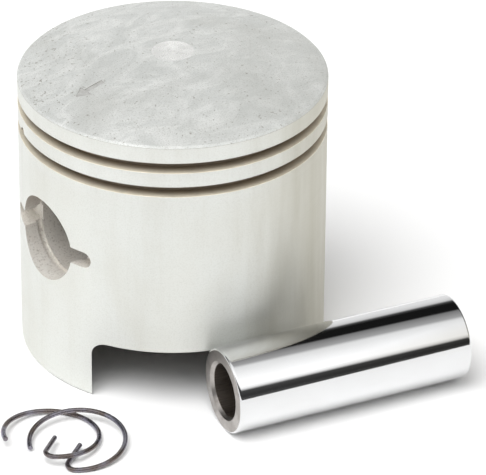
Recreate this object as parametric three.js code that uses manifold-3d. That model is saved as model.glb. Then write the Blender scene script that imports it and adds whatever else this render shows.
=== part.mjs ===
// A small two-stroke motorcycle piston, laid out with its gudgeon pin and its two wire circlips.
// Millimetres, +Z up. The piston stands on the foot of its skirt, with its pin bore along X.
// The pin lies on the ground beside the skirt, and the circlips lie hooked through each other.
// The origin is on the ground, under the middle of the whole layout.
import * as THREE from "three";
import { mergeVertices } from "three/addons/utils/BufferGeometryUtils.js";
import Module from "manifold-3d";

const wasm = await Module();
wasm.setup();

// Piston: outside
const PISTON_RADIUS = 28.5;
const CROWN_EDGE_Z = 54.7;
const CROWN_RISE = 4.3;
const CROWN_CHAMFER = 0.4;
const CENTRE_SPOT_RADIUS = 3.9;
const FOOT_CHAMFER = 0.4;

// Piston: inside
const SKIRT_BORE_RADIUS = 25.3;
const BELT_BORE_RADIUS = 22.8;
const BELT_FOOT_Z = 43;
const SKIRT_TOP_Z = 38;
const UNDER_CROWN_Z = 53;
const UNDER_CROWN_EDGE_Z = 51.2;
const UNDER_CROWN_FILLET = 5;

// Ring grooves, counted from the crown down, each with a locating peg in its upper edge
const GROOVE_HEIGHT = 1.95;
const GROOVE_DEPTH = 2.6;
const RING_GROOVES = [
  { peg: "ring_peg_upper", topZ: 51.3, azimuth: 100 },
  { peg: "ring_peg_lower", topZ: 46.45, azimuth: 163.1 },
];
const PEG_RADIUS = 0.8;
const PEG_LENGTH = 4.2;
const PEG_SINK = 0.4;
const PEG_GAP = 0.3;

// Pin bosses, with their bore, circlip grooves and removal slots
const PIN_HEIGHT = 28.5;
const BOSS_RADIUS = 12.5;
const BOSS_TOP_HALF_WIDTH = 15;
const BOSS_GAP = 23;
const PIN_BORE_RADIUS = 8.05;
const CIRCLIP_GROOVE_RADIUS = 8.6;
const CIRCLIP_GROOVE_WIDTH = 1.2;
const CIRCLIP_GROOVE_X = 24.3;
const SLOT_LENGTH = 25;
const SLOT_HEIGHT = 3.3;
const SLOT_FLOOR_X = 23.4;

// Cutaway in the foot of the skirt
const WINDOW_AZIMUTH = -120.05;
const WINDOW_HALF_ANGLE = 34.75;
const WINDOW_HEIGHT = 11.8;
const WINDOW_CORNER_RADIUS = 2.85;

// Gudgeon pin: a hollow ground tube
const PIN_RADIUS = 8;
const PIN_BORE = 5;
const PIN_LENGTH = 46.8;
const PIN_EDGE_RADIUS = 0.5;
const PIN_MOUTH_CHAMFER = 0.6;
const PIN_DIRECTION = -9.33;
const PIN_OFFSET = 36.12;
const PIN_SHIFT = 17.28;

// Wire circlips: a long arc, a tight bend and a straight tail that points inwards
const WIRE_RADIUS = 0.45;
const CIRCLIP_RADIUS = 8.7;
const CIRCLIP_SWEEP = 284;
const BEND_RADIUS = 1.7;
const BEND_SWEEP = 113;
const TAIL_LENGTH = 5.4;
const LEFT_CIRCLIP = { x: -39.96, y: -20.84, yaw: 167.6, tilt: 6, lowSide: 20 };
const RIGHT_CIRCLIP = { x: -37.02, y: -25.02, yaw: 161.2, tilt: 5.5, lowSide: -138 };

// How finely round shapes are faceted
const BODY_SEGMENTS = 64;
const BORE_SEGMENTS = 36;
const SMALL_SEGMENTS = 12;
const ARC_STEPS = 4;
const WIRE_STEPS = 60;
const OVERCUT = 2;

const radians = THREE.MathUtils.degToRad;

const castAluminium = new THREE.MeshStandardMaterial({ color: 0xc9cbc6, roughness: 0.45, metalness: 0.9 });
const groundSteel = new THREE.MeshStandardMaterial({ color: 0xd4d4d6, roughness: 0.12, metalness: 1 });
const springSteel = new THREE.MeshStandardMaterial({ color: 0x59544f, roughness: 0.35, metalness: 1 });
const pegSteel = new THREE.MeshStandardMaterial({ color: 0x8b8578, roughness: 0.4, metalness: 1 });

// A closed geometry as a solid that can be joined and cut.
function solidOf(geometry) {
  const bare = geometry.clone();
  bare.deleteAttribute("normal");
  bare.deleteAttribute("uv");
  const merged = mergeVertices(bare);
  const corners = merged.index.array;
  const triVerts = [];
  for (let i = 0; i < corners.length; i += 3) {
    const [a, b, c] = corners.slice(i, i + 3);
    if (a !== b && b !== c && c !== a) {
      triVerts.push(a, b, c);
    }
  }
  return new wasm.Manifold(
    new wasm.Mesh({
      numProp: 3,
      vertProperties: merged.attributes.position.array,
      triVerts: new Uint32Array(triVerts),
    }),
  );
}

// A solid's surface as a geometry again.
function geometryOf(solid) {
  const { vertProperties, triVerts } = solid.getMesh();
  const geometry = new THREE.BufferGeometry();
  geometry.setAttribute("position", new THREE.BufferAttribute(vertProperties, 3));
  geometry.setIndex(new THREE.BufferAttribute(triVerts, 1));
  geometry.computeVertexNormals();
  return geometry;
}

// Points of an arc in a profile, from one angle to another in degrees.
function arcPoints(centreX, centreY, radius, from, to) {
  const points = [];
  for (let i = 0; i <= ARC_STEPS; i += 1) {
    const angle = radians(from + ((to - from) * i) / ARC_STEPS);
    points.push(new THREE.Vector2(centreX + radius * Math.cos(angle), centreY + radius * Math.sin(angle)));
  }
  return points;
}

// A profile of (radius, height) points turned about the Z axis.
function turned(points, segments) {
  return new THREE.LatheGeometry(points, segments).rotateX(Math.PI / 2);
}

// An outline drawn in (y, z) and extruded along X from one x to another.
function extrudedAlongX(shape, fromX, toX) {
  const options = { depth: toX - fromX, bevelEnabled: false, curveSegments: SMALL_SEGMENTS };
  const geometry = new THREE.ExtrudeGeometry(shape, options);
  const axes = new THREE.Matrix4().makeBasis(
    new THREE.Vector3(0, 1, 0),
    new THREE.Vector3(0, 0, 1),
    new THREE.Vector3(1, 0, 0),
  );
  return geometry.applyMatrix4(axes).translate(fromX, 0, 0);
}

// A cylinder along X through the pin bore's axis.
function boreCylinder(radius, fromX, toX) {
  const cylinder = new THREE.CylinderGeometry(radius, radius, toX - fromX, BORE_SEGMENTS);
  return cylinder.rotateZ(Math.PI / 2).translate((fromX + toX) / 2, 0, PIN_HEIGHT);
}

// Height of the domed crown at a distance from the piston's axis.
function crownHeight(distance) {
  const edge = PISTON_RADIUS - CROWN_CHAMFER;
  const domeRadius = (edge ** 2 + CROWN_RISE ** 2) / (2 * CROWN_RISE);
  return CROWN_EDGE_Z + CROWN_RISE - domeRadius + Math.sqrt(domeRadius ** 2 - distance ** 2);
}

// The outside of the piston, solid right through, before its grooves are cut.
function envelopeSolid() {
  const edge = PISTON_RADIUS - CROWN_CHAMFER;
  const points = [
    new THREE.Vector2(0, 0),
    new THREE.Vector2(PISTON_RADIUS - FOOT_CHAMFER, 0),
    new THREE.Vector2(PISTON_RADIUS, FOOT_CHAMFER),
    new THREE.Vector2(PISTON_RADIUS, CROWN_EDGE_Z - CROWN_CHAMFER),
  ];
  for (let i = 0; i <= ARC_STEPS; i += 1) {
    const distance = edge + ((CENTRE_SPOT_RADIUS - edge) * i) / ARC_STEPS;
    points.push(new THREE.Vector2(distance, crownHeight(distance)));
  }
  points.push(new THREE.Vector2(0, crownHeight(CENTRE_SPOT_RADIUS)));
  return solidOf(turned(points, BODY_SEGMENTS));
}

// The open inside of the piston, up to the underside of the crown.
function cavitySolid() {
  const filletX = BELT_BORE_RADIUS - UNDER_CROWN_FILLET;
  const filletZ = UNDER_CROWN_EDGE_Z - UNDER_CROWN_FILLET;
  const points = [
    new THREE.Vector2(0, -OVERCUT),
    new THREE.Vector2(SKIRT_BORE_RADIUS + FOOT_CHAMFER, -OVERCUT),
    new THREE.Vector2(SKIRT_BORE_RADIUS + FOOT_CHAMFER, 0),
    new THREE.Vector2(SKIRT_BORE_RADIUS, FOOT_CHAMFER),
    new THREE.Vector2(SKIRT_BORE_RADIUS, SKIRT_TOP_Z),
    new THREE.Vector2(BELT_BORE_RADIUS, BELT_FOOT_Z),
    ...arcPoints(filletX, filletZ, UNDER_CROWN_FILLET, 0, 90),
    new THREE.Vector2(0, UNDER_CROWN_Z),
  ];
  return solidOf(turned(points, BODY_SEGMENTS));
}

// One ring groove, as the ring of metal that is cut away.
function ringGrooveSolid(topZ) {
  const points = [
    new THREE.Vector2(PISTON_RADIUS - GROOVE_DEPTH, topZ - GROOVE_HEIGHT),
    new THREE.Vector2(PISTON_RADIUS + OVERCUT, topZ - GROOVE_HEIGHT),
    new THREE.Vector2(PISTON_RADIUS + OVERCUT, topZ),
    new THREE.Vector2(PISTON_RADIUS - GROOVE_DEPTH, topZ),
    new THREE.Vector2(PISTON_RADIUS - GROOVE_DEPTH, topZ - GROOVE_HEIGHT),
  ];
  return solidOf(turned(points, BODY_SEGMENTS));
}

// Both pin bosses: round below the bore, and widening upwards into the crown.
function bossShape() {
  const shape = new THREE.Shape();
  shape.moveTo(BOSS_RADIUS, PIN_HEIGHT);
  shape.lineTo(BOSS_TOP_HALF_WIDTH, UNDER_CROWN_Z);
  shape.lineTo(-BOSS_TOP_HALF_WIDTH, UNDER_CROWN_Z);
  shape.lineTo(-BOSS_RADIUS, PIN_HEIGHT);
  shape.absarc(0, PIN_HEIGHT, BOSS_RADIUS, Math.PI, 2 * Math.PI);
  return shape;
}

// A removal slot across the mouth of the pin bore, with round ends.
function slotShape() {
  const end = (SLOT_LENGTH - SLOT_HEIGHT) / 2;
  const shape = new THREE.Shape();
  shape.absarc(end, PIN_HEIGHT, SLOT_HEIGHT / 2, -Math.PI / 2, Math.PI / 2);
  shape.absarc(-end, PIN_HEIGHT, SLOT_HEIGHT / 2, Math.PI / 2, (3 * Math.PI) / 2);
  return shape;
}

// The cutaway in the skirt's foot: straight sides, a flat top and round upper corners.
function windowSolid() {
  const halfWidth = PISTON_RADIUS * Math.sin(radians(WINDOW_HALF_ANGLE));
  const cornerX = halfWidth - WINDOW_CORNER_RADIUS;
  const cornerZ = WINDOW_HEIGHT - WINDOW_CORNER_RADIUS;
  const shape = new THREE.Shape();
  shape.moveTo(-halfWidth, -OVERCUT);
  shape.lineTo(halfWidth, -OVERCUT);
  shape.absarc(cornerX, cornerZ, WINDOW_CORNER_RADIUS, 0, Math.PI / 2);
  shape.absarc(-cornerX, cornerZ, WINDOW_CORNER_RADIUS, Math.PI / 2, Math.PI);
  const cutter = extrudedAlongX(shape, SKIRT_BORE_RADIUS / 2, PISTON_RADIUS + OVERCUT);
  return solidOf(cutter.rotateZ(radians(WINDOW_AZIMUTH)));
}

// A cylinder that points straight out from the piston's axis, between two distances from it.
function radialCylinder(radius, from, to, azimuth, height) {
  const cylinder = new THREE.CylinderGeometry(radius, radius, to - from, SMALL_SEGMENTS);
  cylinder.rotateZ(Math.PI / 2).translate((from + to) / 2, 0, 0);
  return cylinder.rotateZ(radians(azimuth)).translate(0, 0, height);
}

function pistonBody() {
  const envelope = envelopeSolid();
  let body = envelope.subtract(cavitySolid());
  for (const side of [-1, 1]) {
    const span = (inner, outer) => (side > 0 ? [inner, outer] : [-outer, -inner]);
    const boss = solidOf(extrudedAlongX(bossShape(), ...span(BOSS_GAP / 2, PISTON_RADIUS)));
    body = body.add(boss.intersect(envelope));
    const slot = extrudedAlongX(slotShape(), ...span(SLOT_FLOOR_X, PISTON_RADIUS + OVERCUT));
    body = body.subtract(solidOf(slot));
    const clipWidth = CIRCLIP_GROOVE_WIDTH;
    const clipEnds = span(CIRCLIP_GROOVE_X - clipWidth / 2, CIRCLIP_GROOVE_X + clipWidth / 2);
    body = body.subtract(solidOf(boreCylinder(CIRCLIP_GROOVE_RADIUS, ...clipEnds)));
  }
  const boreEnd = PISTON_RADIUS + OVERCUT;
  body = body.subtract(solidOf(boreCylinder(PIN_BORE_RADIUS, -boreEnd, boreEnd)));
  body = body.subtract(windowSolid());
  for (const { topZ, azimuth } of RING_GROOVES) {
    body = body.subtract(ringGrooveSolid(topZ));
    const holeFloor = PISTON_RADIUS - PEG_SINK - PEG_LENGTH - PEG_GAP;
    const hole = radialCylinder(PEG_RADIUS + PEG_GAP, holeFloor, PISTON_RADIUS + OVERCUT, azimuth, topZ);
    body = body.subtract(solidOf(hole));
  }
  const mesh = new THREE.Mesh(geometryOf(body), castAluminium);
  mesh.name = "piston_body";
  return mesh;
}

// A ring locating peg, pressed into the floor of its groove with its tip just under the land.
function ringPeg(name, topZ, azimuth) {
  const tip = PISTON_RADIUS - PEG_SINK;
  const mesh = new THREE.Mesh(radialCylinder(PEG_RADIUS, tip - PEG_LENGTH, tip, azimuth, topZ), pegSteel);
  mesh.name = name;
  return mesh;
}

// The gudgeon pin, turned about Z from its middle, then laid on the ground beside the skirt.
function gudgeonPin() {
  const half = PIN_LENGTH / 2;
  const edgeX = PIN_RADIUS - PIN_EDGE_RADIUS;
  const edgeZ = half - PIN_EDGE_RADIUS;
  const points = [
    new THREE.Vector2(PIN_BORE, -half + PIN_MOUTH_CHAMFER),
    new THREE.Vector2(PIN_BORE + PIN_MOUTH_CHAMFER, -half),
    ...arcPoints(edgeX, -edgeZ, PIN_EDGE_RADIUS, -90, 0),
    ...arcPoints(edgeX, edgeZ, PIN_EDGE_RADIUS, 0, 90),
    new THREE.Vector2(PIN_BORE + PIN_MOUTH_CHAMFER, half),
    new THREE.Vector2(PIN_BORE, half - PIN_MOUTH_CHAMFER),
    new THREE.Vector2(PIN_BORE, -half + PIN_MOUTH_CHAMFER),
  ];
  const tube = turned(points, BORE_SEGMENTS).rotateY(Math.PI / 2);
  const mesh = new THREE.Mesh(tube.translate(PIN_SHIFT, -PIN_OFFSET, 0), groundSteel);
  mesh.rotation.z = radians(PIN_DIRECTION);
  mesh.position.z = PIN_RADIUS;
  mesh.name = "gudgeon_pin";
  return mesh;
}

// The centre line of a circlip's wire, in the XY plane, from its free end to the tip of its tail.
class CirclipCurve extends THREE.Curve {
  getPoint(t, target = new THREE.Vector3()) {
    const sweep = radians(CIRCLIP_SWEEP);
    const bend = radians(BEND_SWEEP);
    const arcLength = CIRCLIP_RADIUS * sweep;
    const bendLength = BEND_RADIUS * bend;
    const travelled = t * (arcLength + bendLength + TAIL_LENGTH);
    if (travelled <= arcLength) {
      const angle = -travelled / CIRCLIP_RADIUS;
      return target.set(CIRCLIP_RADIUS * Math.cos(angle), CIRCLIP_RADIUS * Math.sin(angle), 0);
    }
    const bendCentre = CIRCLIP_RADIUS - BEND_RADIUS;
    const turn = Math.min(travelled - arcLength, bendLength) / BEND_RADIUS;
    const angle = -sweep - turn;
    const tail = Math.max(travelled - arcLength - bendLength, 0);
    return target.set(
      bendCentre * Math.cos(sweep) + BEND_RADIUS * Math.cos(angle) + tail * Math.sin(angle),
      -bendCentre * Math.sin(sweep) + BEND_RADIUS * Math.sin(angle) - tail * Math.cos(angle),
      0,
    );
  }
}

// One circlip, turned and leant to where it lies, with its lowest side on the ground.
function circlip(name, { x, y, yaw, tilt, lowSide }) {
  const section = new THREE.Shape().absarc(0, 0, WIRE_RADIUS, 0, 2 * Math.PI);
  const options = { steps: WIRE_STEPS, curveSegments: ARC_STEPS, extrudePath: new CirclipCurve() };
  const mesh = new THREE.Mesh(new THREE.ExtrudeGeometry(section, options), springSteel);
  const leanAxis = new THREE.Vector3(-Math.sin(radians(lowSide)), Math.cos(radians(lowSide)), 0);
  const upright = new THREE.Quaternion().setFromAxisAngle(new THREE.Vector3(0, 0, 1), radians(yaw));
  mesh.quaternion.setFromAxisAngle(leanAxis, radians(tilt)).multiply(upright);
  mesh.position.set(x, y, 0);
  mesh.position.z = -new THREE.Box3().setFromObject(mesh, true).min.z;
  mesh.name = name;
  return mesh;
}

const layout = new THREE.Group();
layout.add(pistonBody());
for (const { peg, topZ, azimuth } of RING_GROOVES) {
  layout.add(ringPeg(peg, topZ, azimuth));
}
layout.add(gudgeonPin());
layout.add(circlip("circlip_left", LEFT_CIRCLIP));
layout.add(circlip("circlip_right", RIGHT_CIRCLIP));

const middle = new THREE.Box3().setFromObject(layout, true).getCenter(new THREE.Vector3());
layout.position.set(-middle.x, -middle.y, 0);

const piston = new THREE.Group();
piston.add(layout);

export default piston;
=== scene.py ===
"""A small two-stroke piston, laid out on a white table with its gudgeon pin and two wire circlips."""
import math

import bmesh
import bpy
from mathutils import Matrix, Quaternion, Vector


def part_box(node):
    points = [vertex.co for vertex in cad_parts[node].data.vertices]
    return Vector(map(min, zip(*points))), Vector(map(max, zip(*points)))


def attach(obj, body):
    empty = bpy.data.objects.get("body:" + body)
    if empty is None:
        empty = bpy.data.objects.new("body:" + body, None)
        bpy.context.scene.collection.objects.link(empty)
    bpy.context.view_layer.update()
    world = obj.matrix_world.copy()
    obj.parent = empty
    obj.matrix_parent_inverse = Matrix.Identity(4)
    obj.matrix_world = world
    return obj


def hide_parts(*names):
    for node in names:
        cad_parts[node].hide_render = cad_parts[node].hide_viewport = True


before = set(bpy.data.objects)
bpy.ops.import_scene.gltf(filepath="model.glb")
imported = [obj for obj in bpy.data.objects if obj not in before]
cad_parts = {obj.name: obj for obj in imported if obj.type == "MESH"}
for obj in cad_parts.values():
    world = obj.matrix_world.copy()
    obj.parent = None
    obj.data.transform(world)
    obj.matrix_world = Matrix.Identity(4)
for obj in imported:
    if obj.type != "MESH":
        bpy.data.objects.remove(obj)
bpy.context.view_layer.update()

MM = 0.001

# From the frame, in metres, as every place in the scene is
PISTON_LOW, PISTON_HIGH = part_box("piston_body")
PISTON_AXIS = Vector(((PISTON_LOW.x + PISTON_HIGH.x) / 2, (PISTON_LOW.y + PISTON_HIGH.y) / 2, 0))

# From here on the lengths are in millimetres and the angles in degrees, unless a comment says otherwise
RADIUS = (PISTON_HIGH.x - PISTON_LOW.x) / 2 / MM
TOP = PISTON_HIGH.z / MM

# Piston, outside
CROWN_EDGE = 54.7
CROWN_RISE = 4.3
CROWN_CHAMFER = 0.4
SPOT_RADIUS = 3.9
FOOT_CHAMFER = 0.4
GROOVE_TOPS = {"ring_peg_upper": 51.3, "ring_peg_lower": 46.45}
GROOVE_HEIGHT = 1.95
GROOVE_DEPTH = 2.6
GROOVE_CORNER = 0.2
EDGE_BREAK = 0.12
CHAMFER_BREAK = 0.15
FOOT_BREAK = 0.1
PEG_AZIMUTHS = {"ring_peg_upper": 100, "ring_peg_lower": 163.1}
PEG_RADIUS = 0.8
PEG_LENGTH = 4.2
PEG_SINK = 0.4
PEG_CLEARANCE = 0.12
PEG_HOLE_SPARE = 0.2
PEG_FOOT_ROUND = 0.15
PEG_TIP_ROUND = 0.25
ARROW_AZIMUTH = 183.5
ARROW_DEPTH = 0.16
ARROW_DISTANCE = 18.6

# Piston, inside
SKIRT_BORE = 25.3
BELT_BORE = 22.8
BELT_FOOT = 43
SKIRT_TOP = 38
UNDER_CROWN = 53
UNDER_CROWN_EDGE = 51.2
UNDER_CROWN_FILLET = 5
SKIRT_TOP_FILLET = 6
BELT_FOOT_FILLET = 3
BOSS_RADIUS = 12.5
BOSS_TOP_HALF_WIDTH = 15
BOSS_GAP = 23
CAST_ROUND = 1.2
BOSS_OVERLAP = 0.3

# Pin bore, circlip grooves, removal slots and skirt window
PIN_HEIGHT = 28.5
BORE_RADIUS = 8.05
CLIP_GROOVE_RADIUS = 8.6
CLIP_GROOVE_X = 24.3
CLIP_GROOVE_WIDTH = 1.2
BORE_FLARE = 0.5
SLOT_LENGTH = 24.4
SLOT_HEIGHT = 3.2
SLOT_FLOOR = 23.4
WINDOW_AZIMUTH = -120.05
WINDOW_HALF_ANGLE = 34.75
WINDOW_HEIGHT = 11.8
WINDOW_CORNER = 2.85

# Gudgeon pin
PIN_RADIUS = 8
PIN_BORE = 5
PIN_LENGTH = 46.8
PIN_EDGE = 0.5
PIN_MOUTH = 0.6
PIN_BREAK = 0.1
PIN_DIRECTION = -9.33

# Circlips
WIRE_RADIUS = 0.45
CLIP_RADIUS = 8.7
CLIP_SWEEP = 284
BEND_RADIUS = 1.7
BEND_SWEEP = 113
TAIL_LENGTH = 5.4
WIRE_END_ROUND = 0.15
CLIPS = {
    "circlip_left": {"yaw": 167.6, "tilt": 6, "low_side": 20},
    "circlip_right": {"yaw": 161.2, "tilt": 5.5, "low_side": -138},
}

# How finely round shapes are divided, and how far cutters reach past what they cut
BODY_SEGMENTS = 256
BOSS_SEGMENTS = 192
PIN_SEGMENTS = 192
BORE_SEGMENTS = 128
PEG_SEGMENTS = 32
CROWN_STEPS = 24
BOSS_STEPS = 40
WIRE_STEPS = 260
WIRE_SIDES = 20
OVERCUT = 2

# A face counts as looking up when its normal's Z is above this
LOOKS_UP = 0.3


# ---------------------------------------------------------------- shapes

def rounded(corners, closed=True, steps=5):
    """An outline through (x, y, fillet radius) corners, with each corner turned into an arc."""
    points = []
    count = len(corners)
    for i, (x, y, fillet) in enumerate(corners):
        here = Vector((x, y))
        if fillet <= 0 or (not closed and i in (0, count - 1)):
            points.append(here)
            continue
        before = Vector(corners[i - 1][:2]) - here
        after = Vector(corners[(i + 1) % count][:2]) - here
        half = before.angle(after) / 2
        reach = fillet / math.tan(half)
        centre = here + (before.normalized() + after.normalized()).normalized() * fillet / math.sin(half)
        start = here + before.normalized() * reach - centre
        end = here + after.normalized() * reach - centre
        turn = math.atan2(start.x * end.y - start.y * end.x, start.dot(end))
        for k in range(steps + 1):
            angle = turn * k / steps
            spun = Vector((
                start.x * math.cos(angle) - start.y * math.sin(angle),
                start.x * math.sin(angle) + start.y * math.cos(angle),
            ))
            points.append(centre + spun)
    return points


def new_object(name, bm):
    """Links a bmesh as an object, with its normals facing out."""
    bmesh.ops.recalc_face_normals(bm, faces=bm.faces)
    mesh = bpy.data.meshes.new(name)
    bm.to_mesh(mesh)
    bm.free()
    obj = bpy.data.objects.new(name, mesh)
    bpy.context.scene.collection.objects.link(obj)
    return obj


def bridge(bm, lower, upper):
    """Faces between two rings of vertices. A ring that is one vertex repeated gives a fan."""
    for k in range(len(lower)):
        after = (k + 1) % len(lower)
        corners = []
        for vert in (lower[k], lower[after], upper[after], upper[k]):
            if vert not in corners:
                corners.append(vert)
        if len(corners) > 2:
            bm.faces.new(corners)


def lathe(name, profile, segments, closed=False, matrix=None):
    """Turns a profile of (radius, height) points in mm about Z. An open profile ends on the axis."""
    bm = bmesh.new()
    rings = []
    for radius, height in profile:
        if radius < 1e-6:
            rings.append([bm.verts.new((0, 0, height * MM))] * segments)
            continue
        ring = []
        for k in range(segments):
            angle = 2 * math.pi * k / segments
            x = radius * MM * math.cos(angle)
            y = radius * MM * math.sin(angle)
            ring.append(bm.verts.new((x, y, height * MM)))
        rings.append(ring)
    pairs = list(zip(rings, rings[1:]))
    if closed:
        pairs.append((rings[-1], rings[0]))
    for lower, upper in pairs:
        bridge(bm, lower, upper)
    if matrix is not None:
        bm.transform(matrix)
    return new_object(name, bm)


def prism(name, outline, start, end, matrix=None):
    """Extrudes an outline of (x, y) points in mm along Z, from start to end."""
    bm = bmesh.new()
    bottom = [bm.verts.new((x * MM, y * MM, start * MM)) for x, y in outline]
    top = [bm.verts.new((x * MM, y * MM, end * MM)) for x, y in outline]
    bm.faces.new(bottom)
    bm.faces.new(top)
    count = len(outline)
    for k in range(count):
        after = (k + 1) % count
        bm.faces.new((bottom[k], bottom[after], top[after], top[k]))
    if matrix is not None:
        bm.transform(matrix)
    return new_object(name, bm)


def evaluated(obj):
    """Replaces an object's mesh with the result of its modifiers."""
    graph = bpy.context.evaluated_depsgraph_get()
    mesh = bpy.data.meshes.new_from_object(obj.evaluated_get(graph))
    obj.modifiers.clear()
    old = obj.data
    obj.data = mesh
    bpy.data.meshes.remove(old)
    return obj


def boolean(obj, tools, operation):
    """Joins or cuts an object with others, which are used up."""
    for tool in tools:
        step = obj.modifiers.new("join", "BOOLEAN")
        step.object = tool
        step.operation = operation
        step.solver = "EXACT"
        evaluated(obj)
        bpy.data.objects.remove(tool)
    return obj


def smooth(obj, angle=30):
    """Smooth shading, with edges sharper than the angle left crisp."""
    mesh = obj.data
    mesh.polygons.foreach_set("use_smooth", [True] * len(mesh.polygons))
    mesh.set_sharp_from_angle(angle=math.radians(angle))
    return obj


def along_x(side=1):
    """Stands a prism drawn in (y, z) so that its depth runs out along +X or -X."""
    out = Vector((side, 0, 0))
    up = Vector((0, 0, 1))
    across = up.cross(out)
    return Matrix((across, up, out)).transposed().to_4x4()


def spin(degrees):
    """A turn about Z."""
    return Matrix.Rotation(math.radians(degrees), 4, "Z")


# ---------------------------------------------------------------- piston

def crown_height(distance):
    """Height of the domed crown at a distance from the piston's axis."""
    edge = RADIUS - CROWN_CHAMFER
    dome = (edge ** 2 + CROWN_RISE ** 2) / (2 * CROWN_RISE)
    return CROWN_EDGE + CROWN_RISE - dome + math.sqrt(dome ** 2 - distance ** 2)


def piston_profile():
    """The piston's section, from the middle of the crown round the skirt to the crown's underside."""
    corners = [(0, TOP, 0), (SPOT_RADIUS, TOP, 0)]
    edge = RADIUS - CROWN_CHAMFER
    for i in range(1, CROWN_STEPS):
        distance = SPOT_RADIUS + (edge - SPOT_RADIUS) * i / CROWN_STEPS
        corners.append((distance, crown_height(distance), 0))
    corners.append((edge, CROWN_EDGE, CHAMFER_BREAK))
    corners.append((RADIUS, CROWN_EDGE - CROWN_CHAMFER, CHAMFER_BREAK))
    floor = RADIUS - GROOVE_DEPTH
    for top in GROOVE_TOPS.values():
        foot = top - GROOVE_HEIGHT
        corners += [(RADIUS, top, EDGE_BREAK), (floor, top, GROOVE_CORNER)]
        corners += [(floor, foot, GROOVE_CORNER), (RADIUS, foot, EDGE_BREAK)]
    corners += [
        (RADIUS, FOOT_CHAMFER, CHAMFER_BREAK),
        (RADIUS - FOOT_CHAMFER, 0, FOOT_BREAK),
        (SKIRT_BORE + FOOT_CHAMFER, 0, FOOT_BREAK),
        (SKIRT_BORE, FOOT_CHAMFER, CHAMFER_BREAK),
        (SKIRT_BORE, SKIRT_TOP, SKIRT_TOP_FILLET),
        (BELT_BORE, BELT_FOOT, BELT_FOOT_FILLET),
        (BELT_BORE, UNDER_CROWN_EDGE, UNDER_CROWN_FILLET),
        (0, UNDER_CROWN, 0),
    ]
    return rounded(corners, closed=False)


def pin_boss(side):
    """One pin boss: round under the bore, widening up into the crown, with a cast round to its face."""
    top = UNDER_CROWN + 1
    outline = [(BOSS_TOP_HALF_WIDTH, top), (-BOSS_TOP_HALF_WIDTH, top)]
    for i in range(BOSS_STEPS + 1):
        angle = math.pi * (1 + i / BOSS_STEPS)
        outline.append((BOSS_RADIUS * math.cos(angle), PIN_HEIGHT + BOSS_RADIUS * math.sin(angle)))
    boss = prism("boss", outline, BOSS_GAP / 2, RADIUS, along_x(side))
    bevel = boss.modifiers.new("cast_round", "BEVEL")
    bevel.width = CAST_ROUND * MM
    bevel.segments = 4
    bevel.limit_method = "ANGLE"
    bevel.angle_limit = math.radians(50)
    evaluated(boss)
    reach = SKIRT_BORE + BOSS_OVERLAP
    above = UNDER_CROWN + OVERCUT
    inside = lathe("inside", [(0, 0), (reach, 0), (reach, above), (0, above)], BOSS_SEGMENTS)
    return boolean(boss, [inside], "INTERSECT")


def bore_cutter():
    """The pin bore right through both bosses, flared inside, with the circlip grooves turned in it."""
    end = RADIUS + OVERCUT
    groove_start = CLIP_GROOVE_X - CLIP_GROOVE_WIDTH / 2
    groove_end = CLIP_GROOVE_X + CLIP_GROOVE_WIDTH / 2
    half = [
        (BORE_RADIUS + BORE_FLARE, BOSS_GAP / 2),
        (BORE_RADIUS, BOSS_GAP / 2 + BORE_FLARE),
        (BORE_RADIUS, groove_start),
        (CLIP_GROOVE_RADIUS, groove_start),
        (CLIP_GROOVE_RADIUS, groove_end),
        (BORE_RADIUS, groove_end),
        (BORE_RADIUS, end),
        (0, end),
    ]
    profile = [(radius, -x) for radius, x in reversed(half)] + half
    turn = Matrix.Translation((0, 0, PIN_HEIGHT * MM)) @ Matrix.Rotation(math.pi / 2, 4, "Y")
    return lathe("bore", profile, BORE_SEGMENTS, matrix=turn)


def slot_cutter(side):
    """A removal slot across the mouth of the pin bore, with round ends."""
    half = SLOT_LENGTH / 2
    rise = SLOT_HEIGHT / 2
    radius = rise * 0.999
    outline = rounded([
        (-half, PIN_HEIGHT - rise, radius),
        (half, PIN_HEIGHT - rise, radius),
        (half, PIN_HEIGHT + rise, radius),
        (-half, PIN_HEIGHT + rise, radius),
    ], steps=10)
    return prism("slot", outline, SLOT_FLOOR, RADIUS + OVERCUT, along_x(side))


def window_cutter():
    """The cutaway in the skirt's foot."""
    half = RADIUS * math.sin(math.radians(WINDOW_HALF_ANGLE))
    outline = rounded([
        (-half, -OVERCUT, 0),
        (half, -OVERCUT, 0),
        (half, WINDOW_HEIGHT, WINDOW_CORNER),
        (-half, WINDOW_HEIGHT, WINDOW_CORNER),
    ], steps=12)
    return prism("window", outline, SKIRT_BORE / 2, RADIUS + OVERCUT, spin(WINDOW_AZIMUTH) @ along_x())


def radial(azimuth, height):
    """Lays a piece turned about Z so that it points straight out from the piston's axis."""
    lay = Matrix.Rotation(math.pi / 2, 4, "Y")
    return Matrix.Translation((0, 0, height * MM)) @ spin(azimuth) @ lay


def peg_hole(name):
    """The hole for a ring peg, a little wider and deeper than the peg."""
    tip = RADIUS + OVERCUT
    base = RADIUS - PEG_SINK - PEG_LENGTH - PEG_HOLE_SPARE
    radius = PEG_RADIUS + PEG_CLEARANCE
    profile = [(0, base), (radius, base), (radius, tip), (0, tip)]
    return lathe("hole", profile, PEG_SEGMENTS, matrix=radial(PEG_AZIMUTHS[name], GROOVE_TOPS[name]))


def arrow_cutter():
    """A plain arrow stamped in the crown above the pin bore, pointing outwards."""
    distance = ARROW_DISTANCE
    outline = [(3.3, 0), (0.9, 1.7), (0.9, 0.55), (-3, 0.55), (-3, -0.55), (0.9, -0.55), (0.9, -1.7)]
    slope = math.atan2(crown_height(distance - 1) - crown_height(distance + 1), 2)
    lean = Matrix.Rotation(slope, 4, "Y")
    place = Matrix.Translation((distance * MM, 0, crown_height(distance) * MM))
    return prism("arrow", outline, -ARROW_DEPTH, OVERCUT, spin(ARROW_AZIMUTH) @ place @ lean)


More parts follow.
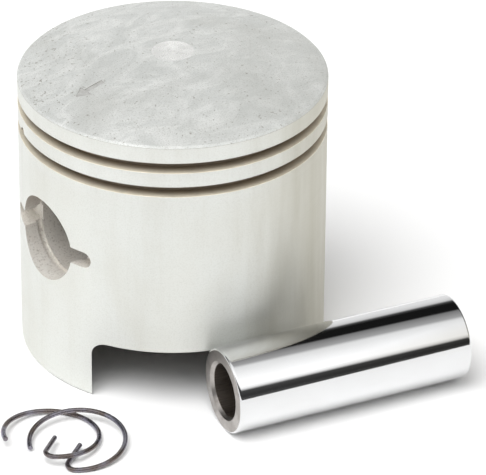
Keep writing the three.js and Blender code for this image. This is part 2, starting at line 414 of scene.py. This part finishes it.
def piston():
    """The piston casting: turned about Z, joined to its bosses, then cut."""
    body = lathe("piston", piston_profile(), BODY_SEGMENTS)
    boolean(body, [pin_boss(1), pin_boss(-1)], "UNION")
    cutters = [bore_cutter(), slot_cutter(1), slot_cutter(-1), window_cutter(), arrow_cutter()]
    cutters += [peg_hole(name) for name in GROOVE_TOPS]
    boolean(body, cutters, "DIFFERENCE")
    return smooth(body, 32)


def ring_peg(name):
    """A round peg that points out at the top edge of its ring groove."""
    tip = RADIUS - PEG_SINK
    profile = rounded([
        (0, tip - PEG_LENGTH, 0),
        (PEG_RADIUS, tip - PEG_LENGTH, PEG_FOOT_ROUND),
        (PEG_RADIUS, tip, PEG_TIP_ROUND),
        (0, tip, 0),
    ], closed=False)
    peg = lathe(name, profile, PEG_SEGMENTS, matrix=radial(PEG_AZIMUTHS[name], GROOVE_TOPS[name]))
    return smooth(peg)


# ---------------------------------------------------------------- pin and circlips

def gudgeon_pin():
    """The hollow pin, lying down, with rounded outer edges and countersunk mouths."""
    half = PIN_LENGTH / 2
    profile = rounded([
        (PIN_BORE, -half + PIN_MOUTH, PIN_BREAK),
        (PIN_BORE + PIN_MOUTH, -half, PIN_BREAK),
        (PIN_RADIUS, -half, PIN_EDGE),
        (PIN_RADIUS, half, PIN_EDGE),
        (PIN_BORE + PIN_MOUTH, half, PIN_BREAK),
        (PIN_BORE, half - PIN_MOUTH, PIN_BREAK),
    ], steps=6)
    laid = spin(PIN_DIRECTION) @ Matrix.Rotation(math.pi / 2, 4, "Y")
    pin = lathe("pin", profile, PIN_SEGMENTS, closed=True, matrix=laid)
    low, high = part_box("gudgeon_pin")
    pin.location = (low + high) / 2
    return smooth(pin)


def clip_point(travelled):
    """A point and heading on a circlip's centre line, in mm, at a length from its free end."""
    sweep = math.radians(CLIP_SWEEP)
    bend = math.radians(BEND_SWEEP)
    arc_length = CLIP_RADIUS * sweep
    if travelled <= arc_length:
        angle = -travelled / CLIP_RADIUS
        point = Vector((math.cos(angle), math.sin(angle), 0)) * CLIP_RADIUS
    else:
        turn = min((travelled - arc_length) / BEND_RADIUS, bend)
        angle = -sweep - turn
        centre = Vector((math.cos(sweep), -math.sin(sweep), 0)) * (CLIP_RADIUS - BEND_RADIUS)
        point = centre + Vector((math.cos(angle), math.sin(angle), 0)) * BEND_RADIUS
    heading = Vector((math.sin(angle), -math.cos(angle), 0))
    tail = travelled - arc_length - BEND_RADIUS * bend
    if tail > 0:
        point += heading * tail
    return point, heading


def wire_stations(length):
    """(distance along, radius) pairs of a round wire with slightly rounded ends."""
    rounding = WIRE_END_ROUND
    stations = [(0, 0), (0, WIRE_RADIUS - rounding)]
    for angle in (math.pi / 6, math.pi / 3, math.pi / 2):
        inset = rounding * (1 - math.sin(angle))
        stations.append((rounding * (1 - math.cos(angle)), WIRE_RADIUS - inset))
    span = length - 2 * rounding
    middle = [(rounding + span * i / WIRE_STEPS, WIRE_RADIUS) for i in range(1, WIRE_STEPS)]
    return stations + middle + [(length - at, radius) for at, radius in reversed(stations)]


def circlip(name):
    """A circlip swept from round wire and leant to where it lies."""
    facts = CLIPS[name]
    arc_length = CLIP_RADIUS * math.radians(CLIP_SWEEP)
    length = arc_length + BEND_RADIUS * math.radians(BEND_SWEEP) + TAIL_LENGTH
    bm = bmesh.new()
    rings = []
    for travelled, radius in wire_stations(length):
        point, heading = clip_point(travelled)
        if radius == 0:
            rings.append([bm.verts.new(point * MM)] * WIRE_SIDES)
            continue
        across = Vector((heading.y, -heading.x, 0))
        ring = []
        for k in range(WIRE_SIDES):
            angle = 2 * math.pi * k / WIRE_SIDES
            offset = across * math.cos(angle) + Vector((0, 0, math.sin(angle)))
            ring.append(bm.verts.new((point + offset * radius) * MM))
        rings.append(ring)
    for lower, upper in zip(rings, rings[1:]):
        bridge(bm, lower, upper)
    low_side = math.radians(facts["low_side"])
    lean = Quaternion((-math.sin(low_side), math.cos(low_side), 0), math.radians(facts["tilt"]))
    bm.transform(lean.to_matrix().to_4x4() @ spin(facts["yaw"]))
    clip = new_object(name + "_wire", bm)
    low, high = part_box(name)
    mine = [vert.co for vert in clip.data.vertices]
    for axis in (0, 1):
        middle_here = (min(p[axis] for p in mine) + max(p[axis] for p in mine)) / 2
        clip.location[axis] = (low[axis] + high[axis]) / 2 - middle_here
    clip.location.z = low.z - min(p.z for p in mine)
    return smooth(clip)


# ---------------------------------------------------------------- materials

class Nodes:
    """A material's node tree, with short calls for the few kinds of node used here."""

    def __init__(self, name, colour, metallic, roughness):
        self.material = bpy.data.materials.new(name)
        self.material.use_nodes = True
        self.tree = self.material.node_tree
        self.shader = self.tree.nodes["Principled BSDF"]
        self.shader.inputs["Base Color"].default_value = (*colour, 1)
        self.shader.inputs["Metallic"].default_value = metallic
        self.shader.inputs["Roughness"].default_value = roughness
        self.coords = self.tree.nodes.new("ShaderNodeTexCoord").outputs["Object"]

    def along_pin(self):
        """Turns the coordinates so that X runs along the gudgeon pin."""
        node = self.tree.nodes.new("ShaderNodeMapping")
        node.inputs["Rotation"].default_value = (0, 0, math.radians(-PIN_DIRECTION))
        self.link(self.coords, node.inputs["Vector"])
        self.coords = node.outputs["Vector"]

    def link(self, output, socket):
        self.tree.links.new(output, socket)

    def stretched(self, scale):
        """Object coordinates, in metres, scaled by three numbers."""
        node = self.tree.nodes.new("ShaderNodeMapping")
        node.inputs["Scale"].default_value = scale
        self.link(self.coords, node.inputs["Vector"])
        return node.outputs["Vector"]

    def noise(self, scale, detail=4, rough=0.5, distortion=0):
        node = self.tree.nodes.new("ShaderNodeTexNoise")
        node.inputs["Scale"].default_value = 1
        node.inputs["Detail"].default_value = detail
        node.inputs["Roughness"].default_value = rough
        node.inputs["Distortion"].default_value = distortion
        self.link(self.stretched(scale), node.inputs["Vector"])
        return node.outputs["Fac"]

    def spread(self, value, low, high, to_low, to_high):
        """Maps a value from one range to another, held at its ends."""
        node = self.tree.nodes.new("ShaderNodeMapRange")
        names = ("From Min", "From Max", "To Min", "To Max")
        for socket, number in zip(names, (low, high, to_low, to_high)):
            node.inputs[socket].default_value = number
        self.link(value, node.inputs["Value"])
        return node.outputs["Result"]

    def vary(self, value, low, high):
        """Maps the usual range of a noise to low and high."""
        return self.spread(value, 0.3, 0.7, low, high)

    def cover(self, value, start, full, amount):
        """How much a layer covers: none up to start, and the whole amount from full on."""
        return self.spread(value, start, full, 0, amount)

    def math(self, operation, *values):
        node = self.tree.nodes.new("ShaderNodeMath")
        node.operation = operation
        for socket, value in zip(node.inputs, values):
            if isinstance(value, (int, float)):
                socket.default_value = value
            else:
                self.link(value, socket)
        return node.outputs[0]

    def mix(self, amount, first, second):
        """Blends two colours, each a tuple or a socket, by an amount from 0 to 1."""
        node = self.tree.nodes.new("ShaderNodeMix")
        node.data_type = "RGBA"
        colour_sockets = [s for s in node.inputs if s.type == "RGBA"]
        self.link(amount, node.inputs["Factor"])
        for socket, colour in zip(colour_sockets, (first, second)):
            if isinstance(colour, tuple):
                socket.default_value = (*colour, 1)
            else:
                self.link(colour, socket)
        return next(s for s in node.outputs if s.type == "RGBA")

    def axis(self, name):
        node = self.tree.nodes.new("ShaderNodeSeparateXYZ")
        self.link(self.coords, node.inputs["Vector"])
        return node.outputs[name]

    def from_axis(self, first="X", second="Y"):
        """Distance from the object's own Z axis, or from another, in metres."""
        squares = []
        for name in (first, second):
            along = self.axis(name)
            squares.append(self.math("MULTIPLY", along, along))
        return self.math("SQRT", self.math("ADD", *squares))

    def rightness(self):
        """How far to the right of the middle a point is as the camera sees it, in metres."""
        right = across_view()[0]
        x = self.math("MULTIPLY", self.axis("X"), right.x)
        y = self.math("MULTIPLY", self.axis("Y"), right.y)
        return self.math("ADD", x, y)

    def bump(self, height, distance, strength=1.0, under=None):
        """Bump of a height from 0 to 1, as deep as the distance in metres."""
        node = self.tree.nodes.new("ShaderNodeBump")
        node.inputs["Strength"].default_value = strength
        node.inputs["Distance"].default_value = distance
        self.link(height, node.inputs["Height"])
        if under is not None:
            self.link(under, node.inputs["Normal"])
        return node.outputs["Normal"]

    def finish(self, colour=None, roughness=None, normal=None):
        for name, value in (("Base Color", colour), ("Roughness", roughness), ("Normal", normal)):
            if value is not None:
                self.link(value, self.shader.inputs[name])
        return self.material


def radial_tangent(nodes):
    """Brushes the metal in rings about the piston's axis."""
    node = nodes.tree.nodes.new("ShaderNodeTangent")
    node.direction_type = "RADIAL"
    node.axis = "Z"
    nodes.link(node.outputs["Tangent"], nodes.shader.inputs["Tangent"])


def turned_aluminium():
    """The machined outside: fine turning lines, faint streaks, and painted shade that darkens and yellows
    the side facing right.
    """
    n = Nodes("turned_aluminium", (0.78, 0.79, 0.74), 0.7, 0.48)
    n.shader.inputs["Anisotropic"].default_value = 0.3
    radial_tangent(n)
    lines = n.noise((30, 30, 5200), detail=3, rough=0.7)
    fine = n.noise((120, 120, 16000), detail=2, rough=0.6)
    streaks = n.noise((260, 260, 26), detail=5, rough=0.6)
    patches = n.noise((55, 55, 40), detail=3, rough=0.55, distortion=0.6)
    stain = n.cover(patches, 0.42, 0.68, 0.4)
    colour = n.mix(stain, (0.765, 0.778, 0.745), (0.69, 0.685, 0.62))
    colour = n.mix(n.cover(streaks, 0.5, 0.8, 0.35), colour, (0.68, 0.672, 0.61))
    grain = n.noise((3600, 3600, 3600), detail=3, rough=0.65)
    colour = n.mix(n.cover(grain, 0.46, 0.70, 0.35), colour, (0.60, 0.60, 0.55))
    # Painted shade: the side facing right is darkened to a yellowish grey, with a ragged edge from the
    # streaks.
    shade_rightness = n.math("ADD", n.rightness(), n.vary(streaks, -0.002, 0.002))
    oil_film_and_painted_shade = n.cover(shade_rightness, 0.013, 0.028, 1)
    colour = n.mix(oil_film_and_painted_shade, colour, (0.545, 0.53, 0.455))
    rough = n.math("ADD", n.vary(streaks, 0.44, 0.54), n.vary(lines, -0.05, 0.05))
    normal = n.bump(lines, 0.000012, 0.5)
    normal = n.bump(fine, 0.000005, 0.4, normal)
    return n.finish(colour, rough, normal)


def ring_grooves():
    """The ring grooves, with painted shade under the top edge and towards the back, and a painted cream
    highlight along the lip.
    """
    n = Nodes("ring_grooves", (0.4, 0.36, 0.3), 0.5, 0.42)
    height = n.axis("Z")
    # Painted shade, one mask per groove: darker from the lower wall up to just under the top edge.
    shares = []
    for top in GROOVE_TOPS.values():
        shares.append(n.spread(height, (top - GROOVE_HEIGHT + 0.1) * MM, (top - 0.4) * MM, 0, 1))
    between = (sum(GROOVE_TOPS.values()) - GROOVE_HEIGHT) / 2 * MM
    below = n.spread(height, between - 0.0001, between + 0.0001, 1, 0)
    painted_shade_under_edge = n.math("MAXIMUM", shares[0], n.math("MULTIPLY", shares[1], below))
    # Painted shade towards the back of the groove, none at the lip.
    painted_shade_at_back = n.spread(n.from_axis(), (RADIUS - GROOVE_DEPTH + 0.1) * MM, (RADIUS - 0.4) * MM, 1, 0)
    # Dark brown painted shade where either mask is high, and a painted cream highlight at the lip where
    # both are low.
    colour = n.mix(n.math("MAXIMUM", painted_shade_under_edge, painted_shade_at_back), (0.98, 0.92, 0.77), (0.34, 0.285, 0.225))
    cloud = n.noise((240, 240, 900), detail=4, rough=0.6)
    colour = n.mix(n.cover(cloud, 0.45, 0.75, 0.3), colour, (0.36, 0.33, 0.28))
    return n.finish(colour, n.vary(cloud, 0.36, 0.5), n.bump(cloud, 0.00002, 0.4))


def blasted_crown():
    """The crown: a blasted grain under broad swirls and clouds, with casting pits on one side."""
    n = Nodes("blasted_crown", (0.68, 0.69, 0.67), 0.35, 0.55)
    grain = n.noise((4200, 4200, 4200), detail=4, rough=0.65)
    swirls = n.noise((95, 150, 95), detail=6, rough=0.62, distortion=2.2)
    clouds = n.noise((42, 34, 42), detail=4, rough=0.55, distortion=0.8)
    pits = n.noise((1500, 1500, 1500), detail=2, rough=0.6)
    colour = n.mix(n.cover(swirls, 0.38, 0.64, 1), (0.64, 0.655, 0.635), (0.79, 0.80, 0.78))
    colour = n.mix(n.cover(clouds, 0.46, 0.68, 0.85), colour, (0.57, 0.578, 0.55))
    colour = n.mix(n.cover(grain, 0.50, 0.70, 0.75), colour, (0.45, 0.45, 0.42))
    gathered = n.spread(n.rightness(), -0.022, -0.012, 0, 0.045)
    pitted = n.spread(n.math("SUBTRACT", pits, gathered), 0.62, 0.66, 0, 0.8)
    colour = n.mix(pitted, colour, (0.33, 0.315, 0.28))
    rough = n.math("ADD", n.vary(swirls, 0.50, 0.62), n.vary(grain, -0.05, 0.05))
    normal = n.bump(grain, 0.00004, 0.5)
    normal = n.bump(pits, 0.00006, 0.25, normal)
    return n.finish(colour, rough, normal)


def centre_spot():
    """The turned spot in the middle of the crown, with rings that catch the light as a bow tie."""
    n = Nodes("centre_spot", (0.68, 0.68, 0.66), 0.5, 0.3)
    n.shader.inputs["Anisotropic"].default_value = 0.9
    radial_tangent(n)
    rings = n.math("SINE", n.math("MULTIPLY", n.from_axis(), 21000))
    cloud = n.noise((600, 600, 600), detail=4, rough=0.6)
    colour = n.mix(n.cover(cloud, 0.35, 0.7, 1), (0.94, 0.945, 0.92), (0.86, 0.86, 0.835))
    rough = n.vary(cloud, 0.22, 0.32)
    normal = n.bump(n.cover(rings, -1, 1, 1), 0.000012, 0.6)
    return n.finish(colour, rough, normal)


def bored_aluminium():
    """The honed pin bore, its circlip grooves and removal slots, a little browner than the skirt, with
    painted shade over the upper half of the bore.
    """
    n = Nodes("bored_aluminium", (0.6, 0.57, 0.53), 0.45, 0.4)
    hone = n.noise((4200, 90, 90), detail=3, rough=0.7)
    stain = n.noise((160, 160, 160), detail=4, rough=0.6)
    grain = n.noise((2600, 2600, 2600), detail=3, rough=0.6)
    colour = n.mix(n.cover(stain, 0.35, 0.7, 1), (0.92, 0.90, 0.85), (0.82, 0.78, 0.72))
    # Painted shade: faces above the pin's axis height, the bore's downward-facing upper half, are darkened
    # to a brown grey.
    colour = n.mix(n.cover(n.axis("Z"), 0.0285, 0.0345, 0.85), colour, (0.34, 0.285, 0.24))
    colour = n.mix(n.cover(grain, 0.52, 0.75, 0.7), colour, (0.42, 0.38, 0.33))
    rough = n.vary(hone, 0.34, 0.5)
    return n.finish(colour, rough, n.bump(hone, 0.00001, 0.6))


def cast_aluminium():
    """The cast inside and the underside of the crown."""
    n = Nodes("cast_aluminium", (0.45, 0.45, 0.43), 0.9, 0.6)
    skin = n.noise((480, 480, 480), detail=6, rough=0.65)
    tone = n.noise((60, 60, 60), detail=4, rough=0.6)
    colour = n.mix(n.cover(tone, 0.35, 0.7, 1), (0.50, 0.50, 0.48), (0.36, 0.35, 0.33))
    rough = n.vary(skin, 0.5, 0.7)
    return n.finish(colour, rough, n.bump(skin, 0.00012, 0.6))


def stamped_mark():
    """The floor of the stamped arrow, a little darker than the crown round it."""
    n = Nodes("stamped_mark", (0.55, 0.55, 0.53), 0.35, 0.6)
    mottle = n.noise((900, 900, 900), detail=3, rough=0.6)
    colour = n.mix(n.vary(mottle, 0, 1), (0.60, 0.60, 0.58), (0.44, 0.435, 0.415))
    return n.finish(colour, n.vary(mottle, 0.5, 0.7), n.bump(mottle, 0.00004, 0.5))


def peg_steel():
    """The steel of the ring pegs, dulled and browned."""
    n = Nodes("peg_steel", (0.42, 0.38, 0.32), 1, 0.35)
    scale = n.noise((1500, 1500, 1500), detail=3, rough=0.6)
    colour = n.mix(n.vary(scale, 0, 1), (0.48, 0.44, 0.38), (0.3, 0.26, 0.22))
    return n.finish(colour, n.vary(scale, 0.28, 0.45), n.bump(scale, 0.00001, 0.5))


def polished_steel():
    """The pin's ground and polished outside, a near mirror with a trace of the grinding round it."""
    n = Nodes("polished_steel", (0.76, 0.765, 0.77), 1, 0.06)
    n.along_pin()
    grind = n.noise((9000, 60, 60), detail=3, rough=0.6)
    haze = n.noise((90, 260, 260), detail=4, rough=0.6)
    colour = n.mix(n.cover(haze, 0.4, 0.75, 0.5), (0.76, 0.765, 0.77), (0.71, 0.71, 0.71))
    rough = n.math("ADD", n.vary(haze, 0.045, 0.085), n.vary(grind, -0.01, 0.01))
    return n.finish(colour, rough, n.bump(grind, 0.0000015, 0.6))


def ground_ends():
    """The pin's plain ground ends, greyer and with rings of grinding marks."""
    n = Nodes("ground_ends", (0.5, 0.48, 0.46), 1, 0.32)
    n.along_pin()
    rings = n.math("SINE", n.math("MULTIPLY", n.from_axis("Y", "Z"), 16000))
    cloud = n.noise((420, 420, 420), detail=5, rough=0.65)
    colour = n.mix(n.cover(cloud, 0.35, 0.68, 1), (0.47, 0.445, 0.425), (0.33, 0.305, 0.285))
    rough = n.vary(cloud, 0.26, 0.42)
    normal = n.bump(n.cover(rings, -1, 1, 1), 0.000006, 0.5)
    return n.finish(colour, rough, n.bump(cloud, 0.00003, 0.3, normal))


def drilled_steel():
    """The rougher hole down the middle of the pin."""
    n = Nodes("drilled_steel", (0.26, 0.23, 0.2), 1, 0.42)
    n.along_pin()
    drag = n.noise((120, 1800, 1800), detail=4, rough=0.65)
    colour = n.mix(n.cover(drag, 0.35, 0.7, 1), (0.34, 0.30, 0.265), (0.17, 0.145, 0.125))
    return n.finish(colour, n.vary(drag, 0.34, 0.55), n.bump(drag, 0.00003, 0.6))


def spring_wire():
    """Oiled dark spring wire, brown with a blue cast in patches where the oil lies, and a little scuffed.
    """
    n = Nodes("spring_wire", (0.18, 0.155, 0.15), 1, 0.24)
    draw = n.noise((1900, 1900, 1900), detail=4, rough=0.65)
    oil_film_and_painted_shade = n.noise((190, 190, 190), detail=3, rough=0.6)
    colour = n.mix(n.cover(oil_film_and_painted_shade, 0.42, 0.62, 1), (0.185, 0.155, 0.145), (0.29, 0.285, 0.345))
    colour = n.mix(n.cover(draw, 0.5, 0.75, 0.6), colour, (0.10, 0.085, 0.08))
    rough = n.vary(draw, 0.18, 0.34)
    return n.finish(colour, rough, n.bump(draw, 0.000008, 0.5))


def table_top():
    """The plain white surface that everything lies on."""
    n = Nodes("table_top", (0.92, 0.92, 0.92), 0, 0.6)
    n.shader.inputs["Specular IOR Level"].default_value = 0.15
    return n.material


def paint(obj, materials, chooser):
    """Gives each face the material whose name the chooser returns for its centre and normal."""
    names = list(materials)
    for name in names:
        obj.data.materials.append(materials[name]())
    for face in obj.data.polygons:
        face.material_index = names.index(chooser(face.center / MM, face.normal))


def piston_face(centre, normal):
    """Which finish a face of the piston has, by where its centre is. The margins allow for facets."""
    margin = 0.1
    distance = math.hypot(centre.x, centre.y)
    if distance < SPOT_RADIUS and centre.z > TOP - 2 * margin:
        return "spot"
    on_chamfer = centre.z > CROWN_EDGE - CROWN_CHAMFER and normal.z > LOOKS_UP
    if on_chamfer or (distance < RADIUS - 1 and centre.z > CROWN_EDGE):
        sunk = crown_height(min(distance, RADIUS - CROWN_CHAMFER)) - centre.z
        in_mark = sunk > ARROW_DEPTH / 4 and SPOT_RADIUS + 1 < distance < RADIUS - 2
        return "mark" if in_mark else "crown"
    in_slot = (
        abs(centre.z - PIN_HEIGHT) < SLOT_HEIGHT / 2 + margin
        and abs(centre.x) > SLOT_FLOOR - margin
        and abs(centre.y) < SLOT_LENGTH / 2 + margin
    )
    from_bore = math.hypot(centre.y, centre.z - PIN_HEIGHT)
    in_bore = from_bore < CLIP_GROOVE_RADIUS + margin and abs(centre.x) > BOSS_GAP / 2 - margin
    if distance < RADIUS - margin / 2 and (in_slot or in_bore):
        return "bore"
    in_belt = centre.z > BELT_FOOT
    groove_floor = RADIUS - GROOVE_DEPTH - 3 * margin
    groove_mouth = RADIUS - 0.15 if normal.z < LOOKS_UP else RADIUS
    if in_belt and groove_floor < distance < groove_mouth:
        return "groove"
    if distance > SKIRT_BORE + 0.5 or (in_belt and distance > groove_floor):
        return "turned"
    return "cast"


def pin_face(centre, normal):
    """Which finish a face of the gudgeon pin has, by how far its centre is from the pin's axis."""
    turn = math.radians(PIN_DIRECTION)
    sideways = centre.y * math.cos(turn) - centre.x * math.sin(turn)
    across = math.hypot(sideways, centre.z)
    if across < PIN_BORE + 0.05:
        return "bore"
    if across > PIN_RADIUS - PIN_EDGE * 0.7:
        return "outside"
    return "ends"


# ---------------------------------------------------------------- the assembly

def place(obj, body, slot, *nodes):
    """Says which CAD nodes a piece stands for and which body it rides on. The slot argument, the name of
    its finish, is not used.
    """
    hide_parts(*nodes)
    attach(obj, body)


def add_piston():
    body = piston()
    paint(body, {
        "turned": turned_aluminium,
        "crown": blasted_crown,
        "spot": centre_spot,
        "mark": stamped_mark,
        "groove": ring_grooves,
        "bore": bored_aluminium,
        "cast": cast_aluminium,
    }, piston_face)
    body.location = PISTON_AXIS
    place(body, "piston", "piston_casting", "piston_body")
    for name in GROOVE_TOPS:
        peg = ring_peg(name)
        peg.name = name + "_steel"
        peg.data.materials.append(peg_steel())
        peg.location = PISTON_AXIS
        place(peg, "piston", "peg_steel", name)


def add_pin():
    pin = gudgeon_pin()
    paint(pin, {"outside": polished_steel, "ends": ground_ends, "bore": drilled_steel}, pin_face)
    place(pin, "gudgeon_pin", "ground_steel", "gudgeon_pin")


def add_circlips():
    wire = spring_wire()
    for name in CLIPS:
        clip = circlip(name)
        clip.data.materials.append(wire)
        place(clip, name, "spring_steel", name)


# ---------------------------------------------------------------- table, light and camera

VIEW_AZIMUTH = -34.27
VIEW_ELEVATION = 30.5
VIEW_ROLL = 0.5
VIEW_DISTANCE = 27.63
VIEW_RIGHT = 0.46
VIEW_HEIGHT = 0.6856
FOCAL_LENGTH = 311.7


def across_view():
    """The horizontal directions to the right of the camera and away from it."""
    angle = math.radians(VIEW_AZIMUTH)
    right = Vector((math.cos(angle), math.sin(angle), 0))
    away = Vector((-math.sin(angle), math.cos(angle), 0))
    return right, away


def add_camera():
    """The camera's place is worked out in piston radii from the piston's axis."""
    right, away = across_view()
    tip = math.radians(VIEW_ELEVATION)
    forward = away * math.cos(tip) - Vector((0, 0, math.sin(tip)))
    up = away * math.sin(tip) + Vector((0, 0, math.cos(tip)))
    roll = math.radians(VIEW_ROLL)
    rolled_right = right * math.cos(roll) + up * math.sin(roll)
    rolled_up = up * math.cos(roll) - right * math.sin(roll)
    radius = RADIUS * MM
    target = PISTON_AXIS + right * VIEW_RIGHT * radius + Vector((0, 0, VIEW_HEIGHT * radius))
    data = bpy.data.cameras.new("camera")
    data.lens = FOCAL_LENGTH
    data.sensor_width = 36
    data.clip_start = 0.01
    data.clip_end = 50
    camera = bpy.data.objects.new("camera", data)
    bpy.context.scene.collection.objects.link(camera)
    turn = Matrix((rolled_right, rolled_up, -forward)).transposed()
    camera.matrix_world = Matrix.Translation(target - forward * VIEW_DISTANCE * radius) @ turn.to_4x4()
    bpy.context.scene.camera = camera


# In metres
TABLE_REACH = 3
TABLE_HEIGHT = -0.00001


def add_table():
    """A square table far wider than the parts, a hair below them so that no faces share a plane."""
    bm = bmesh.new()
    corners = []
    for x, y in ((-1, -1), (1, -1), (1, 1), (-1, 1)):
        corners.append(bm.verts.new((x * TABLE_REACH, y * TABLE_REACH, TABLE_HEIGHT)))
    bm.faces.new(corners)
    table = new_object("table", bm)
    table.data.materials.append(table_top())


# The studio round the table, as (degrees up from the front horizon and over to the back, brightness):
# dark low in front, a broad soft box from there to overhead, a dark gap, and a pale backdrop behind.
STUDIO = [
    (0, 0.10), (4, 0.08), (12, 0.04), (28, 0.07), (35, 1.1), (44, 1.5), (60, 1.35), (84, 1.05), (92, 0.95),
    (98, 0.46), (114, 0.24), (118, 0.01), (139, 0.01), (146, 0.08), (153, 0.75), (164, 0.9), (180, 0.95),
]
DARKER_TO_THE_RIGHT = [(0.62, (1, 1, 1, 1)), (1, (0.34, 0.31, 0.24, 1))]


def direction_towards(tree, coords, direction):
    """How far a direction of the sky is towards another one, from -1 to 1."""
    dot = tree.nodes.new("ShaderNodeVectorMath")
    dot.operation = "DOT_PRODUCT"
    dot.inputs[1].default_value = direction
    tree.links.new(coords, dot.inputs[0])
    return dot.outputs["Value"]


def colour_ramp(tree, value, stops):
    """A colour ramp with the given (position, colour) stops."""
    ramp = tree.nodes.new("ShaderNodeValToRGB")
    elements = ramp.color_ramp.elements
    elements.remove(elements[-1])
    for i, (position, colour) in enumerate(stops):
        stop = elements[0] if i == 0 else elements.new(position)
        stop.position = position
        stop.color = colour
    tree.links.new(value, ramp.inputs["Fac"])
    return ramp.outputs["Color"]


def add_studio():
    """Lights the scene by direction: bands of light that run from left to right over the table."""
    right, away = across_view()
    world = bpy.data.worlds.new("studio")
    bpy.context.scene.world = world
    world.use_nodes = True
    tree = world.node_tree
    coords = tree.nodes.new("ShaderNodeTexCoord").outputs["Generated"]
    height = tree.nodes.new("ShaderNodeSeparateXYZ")
    tree.links.new(coords, height.inputs[0])
    angle = tree.nodes.new("ShaderNodeMath")
    angle.operation = "ARCTAN2"
    tree.links.new(height.outputs["Z"], angle.inputs[0])
    tree.links.new(direction_towards(tree, coords, -away), angle.inputs[1])
    share = tree.nodes.new("ShaderNodeMath")
    share.operation = "DIVIDE"
    share.inputs[1].default_value = math.pi
    tree.links.new(angle.outputs[0], share.inputs[0])
    brightest = max(level for _, level in STUDIO)
    greys = [(degrees / 180, (*[level / brightest] * 3, 1)) for degrees, level in STUDIO]
    bands = colour_ramp(tree, share.outputs[0], greys)
    dimming = colour_ramp(tree, direction_towards(tree, coords, right), DARKER_TO_THE_RIGHT)
    product = tree.nodes.new("ShaderNodeVectorMath")
    product.operation = "MULTIPLY"
    tree.links.new(bands, product.inputs[0])
    tree.links.new(dimming, product.inputs[1])
    background = tree.nodes["Background"]
    background.inputs["Strength"].default_value = brightest
    tree.links.new(product.outputs["Vector"], background.inputs["Color"])


def add_key_light():
    """A broad soft sun from above, leaning in from the front and the left, and unseen in reflections."""
    right, away = across_view()
    data = bpy.data.lights.new("key", "SUN")
    data.energy = 2.2
    data.angle = math.radians(45)
    key = bpy.data.objects.new("key", data)
    bpy.context.scene.collection.objects.link(key)
    towards = right * 0.28 + away * 0.4 - Vector((0, 0, 1))
    key.visible_glossy = False
    key.rotation_euler = towards.to_track_quat("-Z", "Y").to_euler()


add_camera()
add_piston()
add_pin()
add_circlips()
add_table()
add_studio()
add_key_light()

bpy.context.scene.view_settings.view_transform = "Standard"
